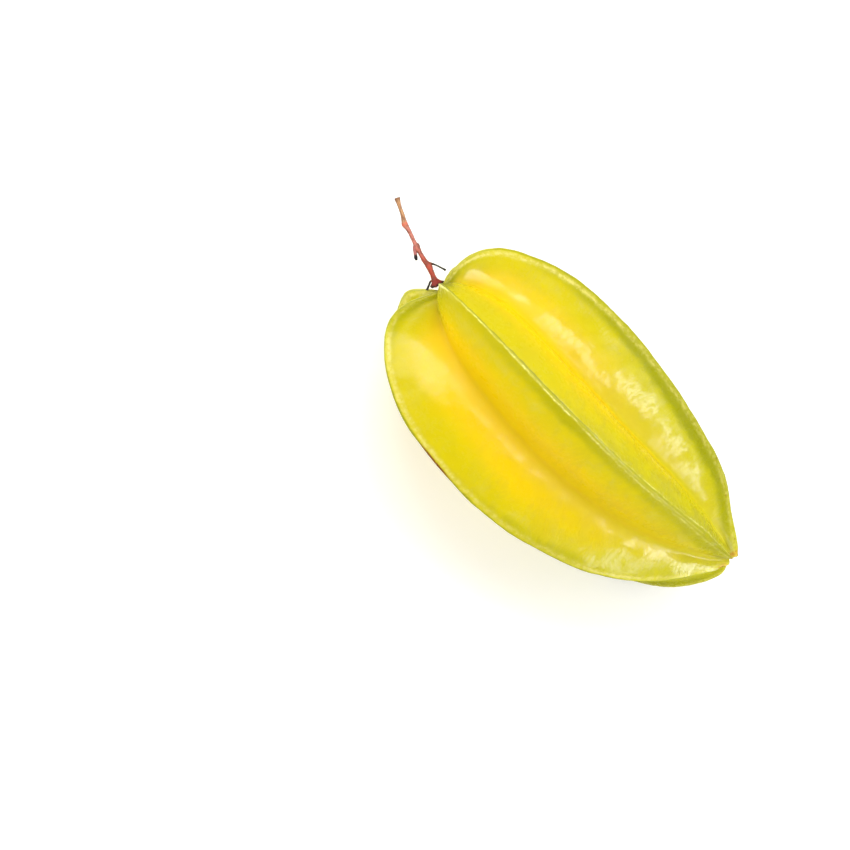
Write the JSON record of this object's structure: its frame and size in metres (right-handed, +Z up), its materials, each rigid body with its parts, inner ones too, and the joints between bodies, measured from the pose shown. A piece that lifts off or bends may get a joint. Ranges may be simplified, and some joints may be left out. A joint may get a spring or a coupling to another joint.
{
  "type": "star fruit",
  "caption": "Whole ripening star fruit (carambola) with deep ribs and a dry stem, lying on two of its ribs.",
  "frame": {"origin": "bottom centre of the whole part's box, on the surface that it lies on", "axes": "+X along the fruit from its stem to its blossom tip, +Z up, +Y to the left seen from the stem"},
  "size_m": [0.144, 0.067, 0.0614],
  "materials": {
    "skin": "waxy yellow-green fruit skin, green along the ribs",
    "bark": "smooth reddish-brown twig",
    "sepal": "dry dark red",
    "dried_stalk": "dry blackish-brown"
  },
  "bodies": {
    "root": {"fruit": "skin", "stem": "bark", "calyx": "sepal", "side_stalk_upper": "dried_stalk", "side_stalk_lower": "dried_stalk", "side_stalk_base": "dried_stalk"}
  },
  "joints": []
}
